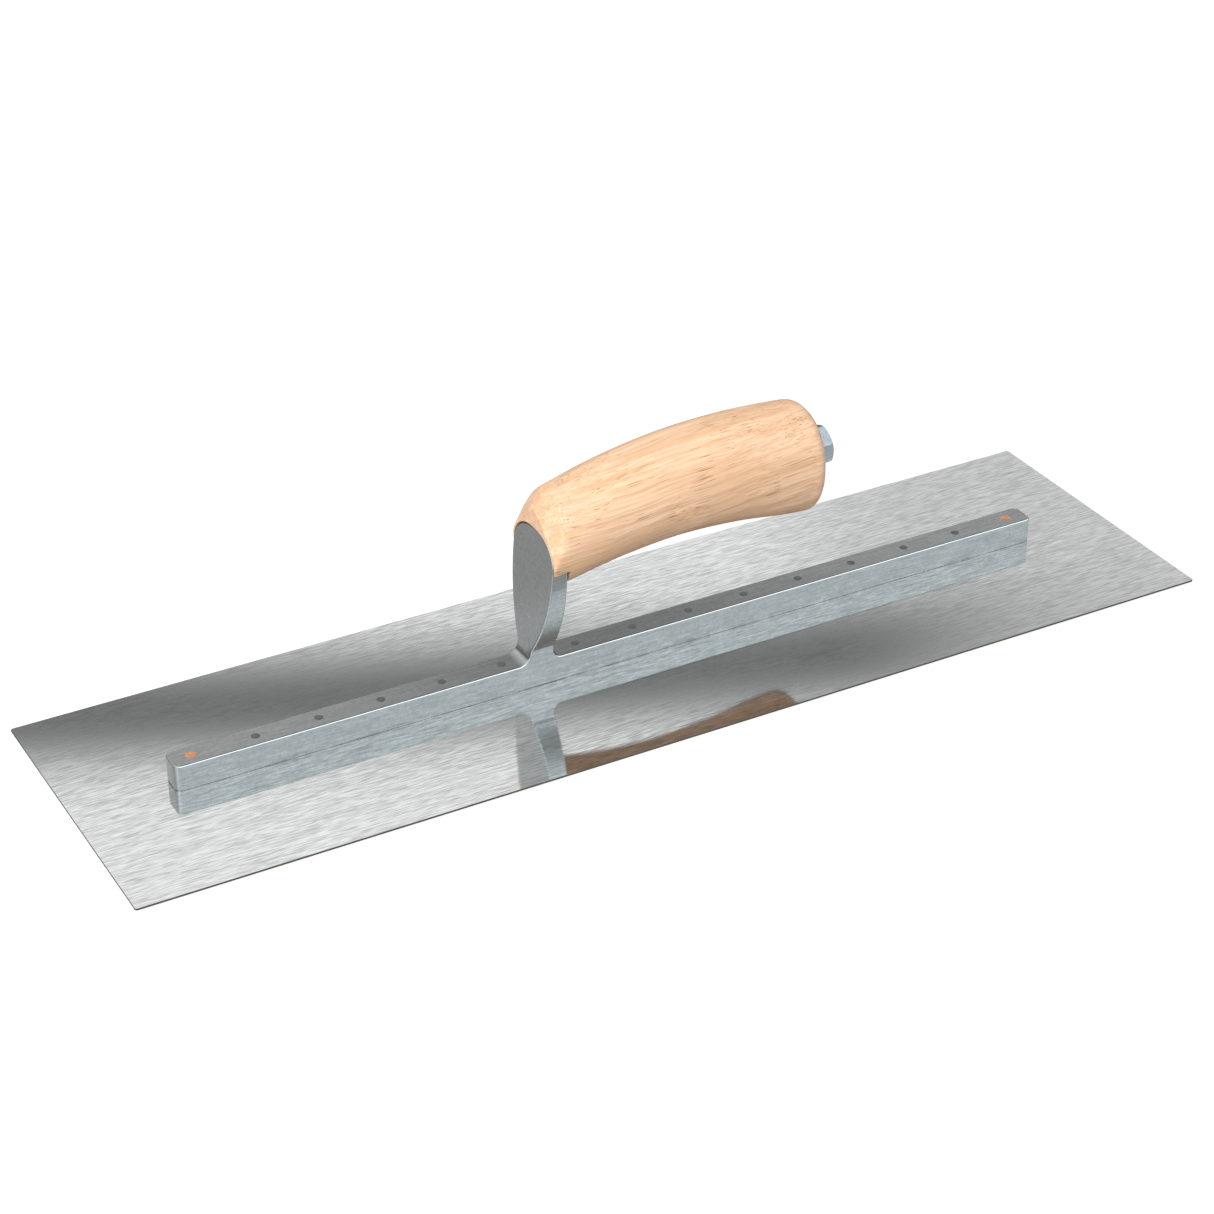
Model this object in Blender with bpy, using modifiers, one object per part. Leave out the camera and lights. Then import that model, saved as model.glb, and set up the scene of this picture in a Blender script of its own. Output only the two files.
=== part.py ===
"""Steel finishing trowel: a thin blade riveted under a long bar, with a wood handle on its shank.

Every length is in metres. The origin is the centre of the blade's underside.
+X runs along the blade to the handle's butt, +Z runs up to the handle.
"""
import math

import bmesh
import bpy
from mathutils import Matrix

MM = 0.001
GAP = 0.3 * MM
OVERSHOOT = 3.0 * MM
LONG_OVERSHOOT = 10.0 * MM
SHARP_ANGLE = math.radians(35.0)

# blade
BLADE_LENGTH = 406.4 * MM
BLADE_WIDTH = 114.3 * MM
BLADE_THICKNESS = 0.7 * MM
BLADE_CORNER_RADIUS = 0.8 * MM
BLADE_EDGE_BEVEL = 0.1 * MM

# bar of the mounting
BAR_LENGTH = 337.4 * MM
BAR_HALF_WIDTH = 5.1 * MM
BAR_TOP = 10.1 * MM
BAR_BOTTOM = BLADE_THICKNESS + GAP
BAR_CORNER_RADIUS = 2.7 * MM
BAR_CORNER_STEPS = 8
MOUNTING_EDGE_ROUND = 0.6 * MM
PLAN_SPREAD = math.radians(8.0)
PLAN_CORNER_TURN = 82.0

# shank of the mounting, a leaf-shaped plate that stands across the bar
SHANK_FOOT_FRONT_X = -40.3 * MM
SHANK_TOP_FRONT_X = -35.2 * MM
SHANK_FOOT_BACK_X = -30.9 * MM
SHANK_TOP_BACK_X = -29.8 * MM
SHANK_LEAN_POWER = 1.4
SHANK_FRONT_FILLET = 4.5 * MM
SHANK_BACK_FILLET = 3.0 * MM
LEAF_HALF_WIDTH = 14.2 * MM
LEAF_MIDDLE_Z = 47.0 * MM
LEAF_TOP_Z = 59.5 * MM
LEAF_POWER = 2.2
LEAF_FLARE_RADIUS = 60.0 * MM
SHANK_FRONT_STEPS = 9
FRONT_FILLET_STEPS = 8
BACK_FILLET_STEPS = 6
FLARE_STEPS = 16
ARCH_STEPS = 32

# handle
HANDLE_FRONT_X = -35.4 * MM
HANDLE_BODY_START_X = -44.0 * MM
HANDLE_BUTT_X = 71.4 * MM
HANDLE_STATION_X = (-31.0 * MM, -8.0 * MM, 15.0 * MM, 38.0 * MM, 60.0 * MM, 80.0 * MM)
HANDLE_TOP_Z = (71.1 * MM, 77.3 * MM, 81.0 * MM, 82.2 * MM, 81.3 * MM, 78.9 * MM)
HANDLE_BOTTOM_Z = (38.0 * MM, 42.5 * MM, 44.8 * MM, 44.0 * MM, 41.1 * MM, 40.0 * MM)
HANDLE_HALF_WIDTH = (15.5 * MM, 16.0 * MM, 16.5 * MM, 17.0 * MM, 17.2 * MM, 17.3 * MM)
HANDLE_SECTION_POWER = 2.15
BUTT_ROUND_LENGTH = 6.2 * MM
BUTT_ROUND_DEPTH = 10.4 * MM
BUTT_ROUND_POWER = 2.8
HANDLE_RINGS = 22
BUTT_RINGS = 9
HANDLE_RING_POINTS = 48

# front end of the handle: a flat face around the leaf, cut back on both sides by a pointed arch
# that doubles its size over its depth; its rings are given as distance behind the face and growth
NOSE_HALF_WIDTH = 17.0 * MM
NOSE_HALF_HEIGHT = 19.5 * MM
NOSE_MIDDLE_Z = 47.0 * MM
NOSE_POWER = 1.34
NOSE_DEPTH = 13.5 * MM
NOSE_BOTTOM_Z = 20.0 * MM
NOSE_RINGS = ((0.0, 1.0), (2.0 * NOSE_DEPTH, 3.0), (10.0 * NOSE_DEPTH, 4.0))
POCKET_DEPTH = 20.0 * MM
POCKET_BOTTOM_Z = 20.0 * MM

# rod, washer and nut that hold the handle; distances along the rod are from the nut's outer face
ROD_TILT = math.radians(5.0)
ROD_NUT_FACE_X = 79.0 * MM
ROD_NUT_FACE_Z = 62.4 * MM
ROD_RADIUS = 3.97 * MM
ROD_PROUD = 0.6 * MM
ROD_CHAMFER = 0.8 * MM
ROD_LENGTH = 112.6 * MM
NUT_ACROSS_FLATS = 12.7 * MM
NUT_HEIGHT = 6.75 * MM
NUT_TURN = math.radians(37.9)
NUT_CHAMFER = 0.75 * MM
NUT_CHAMFER_ANGLE = math.radians(30.0)
NUT_FACE_RIM = 0.2 * MM
NUT_CUT_CLEARANCE = 0.01 * MM
NUT_CUT_POINTS = 48
WASHER_RADIUS = 8.7 * MM
WASHER_THICKNESS = 1.2 * MM
WASHER_BEVEL = 0.15 * MM
SEAT_RADIUS = 9.2 * MM
BOSS_RADIUS = 6.2 * MM
BOSS_REACH = 8.0 * MM
SOCKET_FLOOR = 2.2 * MM

# rivets
RIVET_PITCH = 22.55 * MM
SHANK_RIVET_GAP = 28.3 * MM
RIVETS_TO_TOE = 6
RIVETS_TO_HEEL = 9
SHANK_TOE_RIVET_X = -48.4 * MM
STEEL_RIVET_RADIUS = 1.6 * MM
COPPER_RIVET_RADIUS = 2.0 * MM
RIVET_FLARE = 0.5 * MM
RIVET_BOTTOM = 0.05 * MM
RIVET_FLARE_TOP = BLADE_THICKNESS - 0.1 * MM
RIVET_HOLE_TOP = BAR_TOP + 5.0 * MM
RIVET_HOLE_BOTTOM = -0.4 * MM
RIVET_HOLE_FLARE = 0.9 * MM
STEEL_RIVET_POINTS = 20
COPPER_RIVET_POINTS = 24
ROUND_POINTS = 32


def clear_scene():
    """Remove the objects and collections that the file starts with."""
    for item in list(bpy.data.objects):
        bpy.data.objects.remove(item, do_unlink=True)
    for group in list(bpy.data.collections):
        bpy.data.collections.remove(group)


def make_collection(name):
    """Make a collection under the scene."""
    group = bpy.data.collections.new(name)
    bpy.context.scene.collection.children.link(group)
    return group


def make_material(name, colour, roughness, metallic):
    """Make a plain material."""
    material = bpy.data.materials.new(name)
    material.use_nodes = True
    shader = material.node_tree.nodes["Principled BSDF"]
    shader.inputs["Base Color"].default_value = (*colour, 1.0)
    shader.inputs["Roughness"].default_value = roughness
    shader.inputs["Metallic"].default_value = metallic
    material.diffuse_color = (*colour, 1.0)
    return material


def mesh_object(name, mesh, group, material=None):
    """Put a mesh in a collection as an object."""
    item = bpy.data.objects.new(name, mesh)
    group.objects.link(item)
    if material:
        mesh.materials.append(material)
    return item


def as_cutter(item):
    """Show an object as a wire guide only."""
    item.hide_render = True
    item.display_type = "WIRE"
    return item


def flat_outline(name, points, half_depth, turn, group):
    """Extrude a closed flat outline both ways and turn it into a welded mesh."""
    curve = bpy.data.curves.new(name + "_outline", "CURVE")
    curve.dimensions = "2D"
    curve.fill_mode = "BOTH"
    curve.extrude = half_depth
    spline = curve.splines.new("POLY")
    spline.points.add(len(points) - 1)
    for point, (across, up) in zip(spline.points, points):
        point.co = (across, up, 0.0, 1.0)
    spline.use_cyclic_u = True
    holder = bpy.data.objects.new(name + "_outline", curve)
    group.objects.link(holder)
    bpy.context.view_layer.update()
    drawn = holder.evaluated_get(bpy.context.evaluated_depsgraph_get())
    mesh = bpy.data.meshes.new_from_object(drawn)
    mesh.name = name
    bpy.data.objects.remove(holder, do_unlink=True)
    body = bmesh.new()
    body.from_mesh(mesh)
    bmesh.ops.remove_doubles(body, verts=body.verts, dist=1e-7)
    bmesh.ops.transform(body, matrix=turn, verts=body.verts)
    bmesh.ops.recalc_face_normals(body, faces=body.faces)
    body.to_mesh(mesh)
    body.free()
    return mesh_object(name, mesh, group)


def boolean(item, operation, cutter):
    """Add an exact Boolean."""
    step = item.modifiers.new(operation.lower(), "BOOLEAN")
    step.operation = operation
    step.solver = "EXACT"
    step.object = cutter
    return step


def bevel(item, width, segments):
    """Round the sharp edges."""
    step = item.modifiers.new("bevel", "BEVEL")
    step.width = width
    step.segments = segments
    step.limit_method = "ANGLE"
    step.angle_limit = SHARP_ANGLE
    return step


def arc(centre, radius, start, end, steps):
    """Points along an arc, angles in degrees."""
    points = []
    for index in range(steps + 1):
        angle = math.radians(start + (end - start) * index / steps)
        points.append((centre[0] + radius * math.cos(angle), centre[1] + radius * math.sin(angle)))
    return points


def superellipse(angle, power):
    """Point of a unit superellipse."""
    across = math.copysign(abs(math.cos(angle)) ** (2.0 / power), math.cos(angle))
    up = math.copysign(abs(math.sin(angle)) ** (2.0 / power), math.sin(angle))
    return across, up


def rounded_rectangle(half_length, half_width, radius, steps):
    """Points of a rectangle with round corners."""
    points = []
    for quarter, (side_x, side_y) in enumerate(((1, 1), (-1, 1), (-1, -1), (1, -1))):
        centre = (side_x * (half_length - radius), side_y * (half_width - radius))
        points += arc(centre, radius, 90.0 * quarter, 90.0 * (quarter + 1), steps)
    return points


def shank_front_x(height):
    """Where the shank's front face is at a height."""
    share = min(max((LEAF_TOP_Z - height) / (LEAF_TOP_Z - BAR_TOP), 0.0), 1.0)
    return SHANK_TOP_FRONT_X + (SHANK_FOOT_FRONT_X - SHANK_TOP_FRONT_X) * share**SHANK_LEAN_POWER


def shank_back_x(height):
    """Where the shank's back face is at a height."""
    share = (height - BAR_TOP) / (LEAF_TOP_Z - BAR_TOP)
    return SHANK_FOOT_BACK_X + (SHANK_TOP_BACK_X - SHANK_FOOT_BACK_X) * share


def mounting_side_outline():
    """Outline of the bar and the shank seen from the side, as X and Z."""
    half = BAR_LENGTH / 2
    below = -OVERSHOOT
    above = LEAF_TOP_Z + OVERSHOOT
    front_start = shank_front_x(BAR_TOP + SHANK_FRONT_FILLET)
    back_start = shank_back_x(BAR_TOP + SHANK_BACK_FILLET)
    points = [(-half, below), (half, below), (half, BAR_TOP)]
    centre = (back_start + SHANK_BACK_FILLET, BAR_TOP + SHANK_BACK_FILLET)
    points += arc(centre, SHANK_BACK_FILLET, 270.0, 180.0, BACK_FILLET_STEPS)
    points.append((shank_back_x(above), above))
    drop = above - BAR_TOP - SHANK_FRONT_FILLET
    for index in range(SHANK_FRONT_STEPS):
        height = above - drop * index / SHANK_FRONT_STEPS
        points.append((shank_front_x(height), height))
    centre = (front_start - SHANK_FRONT_FILLET, BAR_TOP + SHANK_FRONT_FILLET)
    points += arc(centre, SHANK_FRONT_FILLET, 0.0, -90.0, FRONT_FILLET_STEPS)
    points.append((-half, BAR_TOP))
    return points


def arch(half_width, middle, rise, power, bottom):
    """Outline as Y and Z: straight sides up from a bottom, and half a superellipse on top."""
    points = [(-half_width, bottom), (half_width, bottom)]
    for index in range(ARCH_STEPS + 1):
        across, up = superellipse(math.pi * index / ARCH_STEPS, power)
        points.append((half_width * across, middle + rise * up))
    return points


def leaf_outline(grow, bottom):
    """Outline of the leaf's upper part grown by a gap, running straight down to a bottom."""
    rise = LEAF_TOP_Z - LEAF_MIDDLE_Z + grow
    return arch(LEAF_HALF_WIDTH + grow, LEAF_MIDDLE_Z, rise, LEAF_POWER, bottom)


def mounting_front_outline():
    """Outline of the bar and the leaf seen from the front, as Y and Z."""
    below = -OVERSHOOT
    centre = (LEAF_HALF_WIDTH - LEAF_FLARE_RADIUS, LEAF_MIDDLE_Z)
    start = -math.degrees(math.acos((BAR_HALF_WIDTH - centre[0]) / LEAF_FLARE_RADIUS))
    flare = arc(centre, LEAF_FLARE_RADIUS, start, 0.0, FLARE_STEPS)[:-1]
    top = leaf_outline(0.0, 0.0)[2:]
    left = [(-across, height) for across, height in reversed(flare)]
    return [(-BAR_HALF_WIDTH, below), (BAR_HALF_WIDTH, below)] + flare + top + left


def mounting_plan_outline():
    """Outline from above: the bar's round ends, spreading a little so the shank stays inside."""
    end = BAR_LENGTH / 2 - BAR_CORNER_RADIUS
    side = BAR_HALF_WIDTH - BAR_CORNER_RADIUS
    spread = BAR_HALF_WIDTH + end * math.tan(PLAN_SPREAD)
    points = arc((end, -side), BAR_CORNER_RADIUS, -PLAN_CORNER_TURN, 0.0, BAR_CORNER_STEPS)
    points += arc((end, side), BAR_CORNER_RADIUS, 0.0, PLAN_CORNER_TURN, BAR_CORNER_STEPS)
    points.append((0.0, spread))
    points += [(-across, up) for across, up in reversed(points[:-1])]
    points.append((0.0, -spread))
    return points


def upright(axis):
    """Turn that stands a flat outline up so its depth runs along an axis."""
    if axis == "Y":
        return Matrix(((1, 0, 0, 0), (0, 0, 1, 0), (0, 1, 0, 0), (0, 0, 0, 1)))
    if axis == "X":
        return Matrix(((0, 0, 1, 0), (1, 0, 0, 0), (0, 1, 0, 0), (0, 0, 0, 1)))
    return Matrix.Identity(4)


def rod_frame(distance):
    """Place on the rod's axis, its Z outwards along the rod, at a distance in from the nut's face."""
    start_x = ROD_NUT_FACE_X - distance * math.cos(ROD_TILT)
    start_z = ROD_NUT_FACE_Z - distance * math.sin(ROD_TILT)
    return Matrix.Translation((start_x, 0.0, start_z)) @ Matrix.Rotation(math.pi / 2 - ROD_TILT, 4, "Y")


def turned(name, profile, points, group, material=None):
    """Turn a profile, given top to bottom as radius and height, about Z with the Screw modifier."""
    mesh = bpy.data.meshes.new(name)
    body = bmesh.new()
    verts = [body.verts.new((radius, 0.0, height)) for radius, height in profile]
    for first, second in zip(verts, verts[1:]):
        body.edges.new((first, second))
    body.to_mesh(mesh)
    body.free()
    item = mesh_object(name, mesh, group, material)
    step = item.modifiers.new("screw", "SCREW")
    step.angle = 2.0 * math.pi
    step.steps = points
    step.render_steps = points
    step.use_smooth_shade = True
    step.use_merge_vertices = True
    step.merge_threshold = 1e-6
    return item


def drill(name, radius, start, end, group):
    """Round cutter along the rod's axis between two distances in from the nut's face."""
    body = bmesh.new()
    bmesh.ops.create_cone(
        body,
        cap_ends=True,
        segments=ROUND_POINTS,
        radius1=radius,
        radius2=radius,
        depth=abs(end - start),
    )
    mesh = bpy.data.meshes.new(name)
    body.to_mesh(mesh)
    body.free()
    mesh.shade_smooth()
    mesh.set_sharp_from_angle(angle=SHARP_ANGLE)
    item = as_cutter(mesh_object(name, mesh, group))
    item.matrix_world = rod_frame((start + end) / 2)
    return item


def flared_pin(radius, flare, top, bottom):
    """Profile of a pin that widens through the blade to its bottom end."""
    return [
        (0.0, top),
        (radius, top),
        (radius, RIVET_FLARE_TOP),
        (radius + flare, bottom),
        (0.0, bottom),
    ]


def rivet_places():
    """X of every rivet from the toe to the heel, and whether it is a copper end rivet."""
    toe = [SHANK_TOE_RIVET_X - RIVET_PITCH * index for index in reversed(range(RIVETS_TO_TOE))]
    first = SHANK_TOE_RIVET_X + SHANK_RIVET_GAP
    heel = [first + RIVET_PITCH * index for index in range(RIVETS_TO_HEEL)]
    places = toe + heel
    return [(place, index in (0, len(places) - 1)) for index, place in enumerate(places)]


def make_rivets(group, steel, copper):
    """Rivets that hold the blade under the bar, each its own piece."""
    copper_profile = flared_pin(COPPER_RIVET_RADIUS, RIVET_FLARE, BAR_TOP, RIVET_BOTTOM)
    steel_profile = flared_pin(STEEL_RIVET_RADIUS, RIVET_FLARE, BAR_TOP, RIVET_BOTTOM)
    steel_mesh = None
    count = 0
    for place, is_end in rivet_places():
        if is_end:
            name = "end_rivet_toe" if place < 0 else "end_rivet_heel"
            item = turned(name, copper_profile, COPPER_RIVET_POINTS, group, copper)
        else:
            count += 1
            item = turned("rivet_%02d" % count, steel_profile, STEEL_RIVET_POINTS, group, steel)
            if steel_mesh:
                item.data = steel_mesh
            steel_mesh = item.data
        item.location = (place, 0.0, 0.0)


def make_rivet_holes(group):
    """Cutters for the rivet holes."""
    holes = []
    for index, (place, is_end) in enumerate(rivet_places()):
        radius = GAP + (COPPER_RIVET_RADIUS if is_end else STEEL_RIVET_RADIUS)
        profile = flared_pin(radius, RIVET_HOLE_FLARE, RIVET_HOLE_TOP, RIVET_HOLE_BOTTOM)
        item = turned("rivet_hole_%02d" % (index + 1), profile, COPPER_RIVET_POINTS, group)
        item.location = (place, 0.0, 0.0)
        holes.append(as_cutter(item))
    return holes


def make_blade(group, holes, material):
    """Flat sheet blade with square corners."""
    outline = rounded_rectangle(BLADE_LENGTH / 2, BLADE_WIDTH / 2, BLADE_CORNER_RADIUS, 4)
    lift = Matrix.Translation((0.0, 0.0, BLADE_THICKNESS / 2))
    item = flat_outline("blade", outline, BLADE_THICKNESS / 2, lift, group)
    item.data.materials.append(material)
    bevel(item, BLADE_EDGE_BEVEL, 1)
    for hole in holes:
        boolean(item, "DIFFERENCE", hole)
    return item


def make_box(name, low, high, group):
    """Box between two corners, as a cutter."""
    body = bmesh.new()
    size = [b - a for a, b in zip(low, high)]
    middle = [(a + b) / 2 for a, b in zip(low, high)]
    bmesh.ops.create_cube(body, size=1.0)
    bmesh.ops.scale(body, vec=size, verts=body.verts)
    bmesh.ops.translate(body, vec=middle, verts=body.verts)
    mesh = bpy.data.meshes.new(name)
    body.to_mesh(mesh)
    body.free()
    return as_cutter(mesh_object(name, mesh, group))


def make_mounting(group, cutters, holes, material):
    """Bar, shank and rod boss in one casting: three outlines crossed, then rounded and drilled."""
    reach = LEAF_TOP_Z + LONG_OVERSHOOT
    half_depth = LEAF_HALF_WIDTH + OVERSHOOT
    item = flat_outline("mounting", mounting_side_outline(), half_depth, upright("Y"), group)
    item.data.materials.append(material)
    front = flat_outline("mounting_front", mounting_front_outline(), BAR_LENGTH, upright("X"), cutters)
    plan = flat_outline("mounting_plan", mounting_plan_outline(), reach, upright("Z"), cutters)
    boolean(item, "INTERSECT", as_cutter(front))
    boolean(item, "INTERSECT", as_cutter(plan))
    bevel(item, MOUNTING_EDGE_ROUND, 3)
    low = (-BAR_LENGTH, -BLADE_WIDTH, -LONG_OVERSHOOT)
    high = (BAR_LENGTH, BLADE_WIDTH, BAR_BOTTOM)
    boolean(item, "DIFFERENCE", make_box("mounting_trim", low, high, cutters))
    boss_end = boss_distance(BOSS_REACH)
    boss = drill("mounting_boss", BOSS_RADIUS, boss_end, boss_distance(-OVERSHOOT), cutters)
    boolean(item, "UNION", boss)
    socket_start = boss_end - OVERSHOOT
    socket = drill("mounting_socket", ROD_RADIUS + GAP, socket_start, socket_distance(), cutters)
    boolean(item, "DIFFERENCE", socket)
    for hole in holes:
        boolean(item, "DIFFERENCE", hole)
    return item


def boss_distance(behind):
    """Distance in from the nut's face of a point behind the shank's back face."""
    return (ROD_NUT_FACE_X - SHANK_TOP_BACK_X - behind) / math.cos(ROD_TILT)


def socket_distance():
    """Distance in from the nut's face of the socket's floor."""
    return (ROD_NUT_FACE_X - SHANK_TOP_FRONT_X - SOCKET_FLOOR) / math.cos(ROD_TILT)


def between(stations, values, place):
    """Smooth curve through station values (Catmull-Rom on uneven stations)."""
    last = len(stations) - 1
    index = 0
    while index < last - 1 and place > stations[index + 1]:
        index += 1
    slopes = []
    for knot in (index, index + 1):
        low = max(knot - 1, 0)
        high = min(knot + 1, last)
        slopes.append((values[high] - values[low]) / (stations[high] - stations[low]))
    width = stations[index + 1] - stations[index]
    share = (place - stations[index]) / width
    if share < 0.0:
        return values[index] + slopes[0] * share * width
    square = share * share
    cube = square * share
    start = (2 * cube - 3 * square + 1) * values[index] + (cube - 2 * square + share) * width * slopes[0]
    end = (3 * square - 2 * cube) * values[index + 1] + (cube - square) * width * slopes[1]
    return start + end


def handle_ring(place, inset):
    """Points of the handle's section at an X, drawn in by an inset."""
    top = between(HANDLE_STATION_X, HANDLE_TOP_Z, place) - inset
    bottom = between(HANDLE_STATION_X, HANDLE_BOTTOM_Z, place) + inset
    half_width = between(HANDLE_STATION_X, HANDLE_HALF_WIDTH, place) - inset
    half_height = (top - bottom) / 2
    points = []
    for index in range(HANDLE_RING_POINTS):
        across, up = superellipse(2.0 * math.pi * index / HANDLE_RING_POINTS, HANDLE_SECTION_POWER)
        points.append((place, half_width * across, bottom + half_height + half_height * up))
    return points


def loft(name, rings, group, material=None):
    """Closed skin through rings of equal count, with flat ends."""
    body = bmesh.new()
    rows = [[body.verts.new(point) for point in ring] for ring in rings]
    count = len(rings[0])
    for first, second in zip(rows, rows[1:]):
        for index in range(count):
            after = (index + 1) % count
            body.faces.new((first[index], first[after], second[after], second[index]))
    body.faces.new(list(reversed(rows[0])))
    body.faces.new(rows[-1])
    bmesh.ops.recalc_face_normals(body, faces=body.faces)
    mesh = bpy.data.meshes.new(name)
    body.to_mesh(mesh)
    body.free()
    mesh.shade_smooth()
    mesh.set_sharp_from_angle(angle=SHARP_ANGLE)
    return mesh_object(name, mesh, group, material)


def handle_rings():
    """Rings of the handle from before its front end to the round butt."""
    rings = []
    round_start = HANDLE_BUTT_X - BUTT_ROUND_LENGTH
    for index in range(HANDLE_RINGS):
        place = HANDLE_BODY_START_X + (round_start - HANDLE_BODY_START_X) * index / HANDLE_RINGS
        rings.append(handle_ring(place, 0.0))
    for index in range(BUTT_RINGS + 1):
        share = math.sin(0.5 * math.pi * index / BUTT_RINGS)
        drop = 1.0 - (1.0 - share**BUTT_ROUND_POWER) ** (1.0 / BUTT_ROUND_POWER)
        rings.append(handle_ring(round_start + BUTT_ROUND_LENGTH * share, BUTT_ROUND_DEPTH * drop))
    return rings


def make_nose(group):
    """Arch that spreads backwards from the handle's front face; behind the cut it clears the handle."""
    rings = []
    for place, spread in NOSE_RINGS:
        outline = arch(
            NOSE_HALF_WIDTH * spread,
            NOSE_MIDDLE_Z,
            NOSE_HALF_HEIGHT * spread,
            NOSE_POWER,
            NOSE_BOTTOM_Z - place,
        )
        rings.append([(HANDLE_FRONT_X + place, across, height) for across, height in outline])
    return as_cutter(loft("handle_nose", rings, group))


def make_handle(group, cutters, material):
    """Wood handle with a bevelled front end, the leaf's pocket, the rod's bore and the washer's seat."""
    item = loft("handle", handle_rings(), group, material)
    boolean(item, "INTERSECT", make_nose(cutters))
    pocket_back = SHANK_TOP_BACK_X + 2.0 * GAP
    place = Matrix.Translation((pocket_back - POCKET_DEPTH, 0.0, 0.0)) @ upright("X")
    outline = leaf_outline(1.5 * GAP, POCKET_BOTTOM_Z)
    pocket = flat_outline("handle_pocket", outline, POCKET_DEPTH, place, cutters)
    boolean(item, "DIFFERENCE", as_cutter(pocket))
    seat = NUT_HEIGHT + GAP + WASHER_THICKNESS + GAP
    boss_end = boss_distance(BOSS_REACH + 2.0 * GAP)
    hole_end = boss_distance(-LONG_OVERSHOOT)
    counterbore = drill("handle_boss_hole", BOSS_RADIUS + GAP, boss_end, hole_end, cutters)
    bore = drill("handle_bore", ROD_RADIUS + GAP, -LONG_OVERSHOOT, boss_end + OVERSHOOT, cutters)
    spot_face = drill("handle_seat", SEAT_RADIUS, -LONG_OVERSHOOT, seat, cutters)
    for cutter in (counterbore, bore, spot_face):
        boolean(item, "DIFFERENCE", cutter)
    return item


def make_rod(group, material):
    """Rod from the shank's socket through the handle and the nut."""
    profile = [
        (0.0, ROD_PROUD),
        (ROD_RADIUS - ROD_CHAMFER, ROD_PROUD),
        (ROD_RADIUS, ROD_PROUD - ROD_CHAMFER),
        (ROD_RADIUS, ROD_PROUD - ROD_LENGTH + ROD_CHAMFER),
        (ROD_RADIUS - ROD_CHAMFER, ROD_PROUD - ROD_LENGTH),
        (0.0, ROD_PROUD - ROD_LENGTH),
    ]
    item = turned("handle_rod", profile, ROUND_POINTS, group, material)
    item.matrix_world = rod_frame(0.0)
    return item


def make_washer(group, material):
    """Flat washer on the butt's seat."""
    inner = ROD_RADIUS + GAP
    half = WASHER_THICKNESS / 2
    profile = [
        (inner, half),
        (WASHER_RADIUS - WASHER_BEVEL, half),
        (WASHER_RADIUS, half - WASHER_BEVEL),
        (WASHER_RADIUS, WASHER_BEVEL - half),
        (WASHER_RADIUS - WASHER_BEVEL, -half),
        (inner, -half),
        (inner, half),
    ]
    item = turned("handle_washer", profile, ROUND_POINTS, group, material)
    item.matrix_world = rod_frame(NUT_HEIGHT + GAP + half)
    return item


def make_nut(group, cutters, material):
    """Hexagon nut with chamfered corners."""
    body = bmesh.new()
    corner = NUT_ACROSS_FLATS / math.sqrt(3.0)
    bmesh.ops.create_cone(body, cap_ends=True, segments=6, radius1=corner, radius2=corner, depth=NUT_HEIGHT)
    mesh = bpy.data.meshes.new("handle_nut")
    body.to_mesh(mesh)
    body.free()
    item = mesh_object("handle_nut", mesh, group, material)
    place = rod_frame(NUT_HEIGHT / 2) @ Matrix.Rotation(NUT_TURN, 4, "Z")
    item.matrix_world = place
    half = NUT_HEIGHT / 2
    reach = NUT_ACROSS_FLATS / 2 + NUT_CHAMFER
    rim = NUT_ACROSS_FLATS / 2 - NUT_FACE_RIM
    drop = (reach - rim) * math.tan(NUT_CHAMFER_ANGLE)
    end = half + NUT_CUT_CLEARANCE
    profile = [(0.0, end), (rim, end), (reach, half - drop), (reach, drop - half), (rim, -end), (0.0, -end)]
    chamfer = as_cutter(turned("nut_chamfer", profile, NUT_CUT_POINTS, cutters))
    chamfer.matrix_world = place
    boolean(item, "INTERSECT", chamfer)
    hole = drill("nut_hole", ROD_RADIUS + GAP, -OVERSHOOT, NUT_HEIGHT + OVERSHOOT, cutters)
    boolean(item, "DIFFERENCE", hole)
    return item


def build():
    """Make every piece of the trowel."""
    clear_scene()
    trowel = make_collection("finishing_trowel")
    cutters = make_collection("cutters")
    blade_steel = make_material("blade_steel", (0.62, 0.63, 0.63), 0.3, 1.0)
    cast = make_material("cast_aluminium", (0.48, 0.5, 0.51), 0.45, 1.0)
    wood = make_material("handle_wood", (0.83, 0.6, 0.4), 0.6, 0.0)
    plated = make_material("plated_steel", (0.6, 0.62, 0.66), 0.3, 1.0)
    rod_steel = make_material("rod_steel", (0.5, 0.5, 0.5), 0.4, 1.0)
    washer_steel = make_material("washer_steel", (0.58, 0.6, 0.62), 0.35, 1.0)
    rivet_steel = make_material("rivet_steel", (0.45, 0.46, 0.46), 0.4, 1.0)
    copper = make_material("rivet_copper", (0.75, 0.38, 0.2), 0.35, 1.0)
    holes = make_rivet_holes(cutters)
    make_blade(trowel, holes, blade_steel)
    make_mounting(trowel, cutters, holes, cast)
    make_handle(trowel, cutters, wood)
    make_rod(trowel, rod_steel)
    make_washer(trowel, washer_steel)
    make_nut(trowel, cutters, plated)
    make_rivets(trowel, rivet_steel, copper)


build()
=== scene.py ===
"""Looks of the steel finishing trowel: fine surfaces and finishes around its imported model.

Lengths are in metres. The origin is the centre of the blade's underside, +X runs along the blade
to the handle's butt and +Z runs up to the handle.
"""
import math

import bmesh
import bpy
import numpy as np
from mathutils import Matrix, Vector


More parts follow.
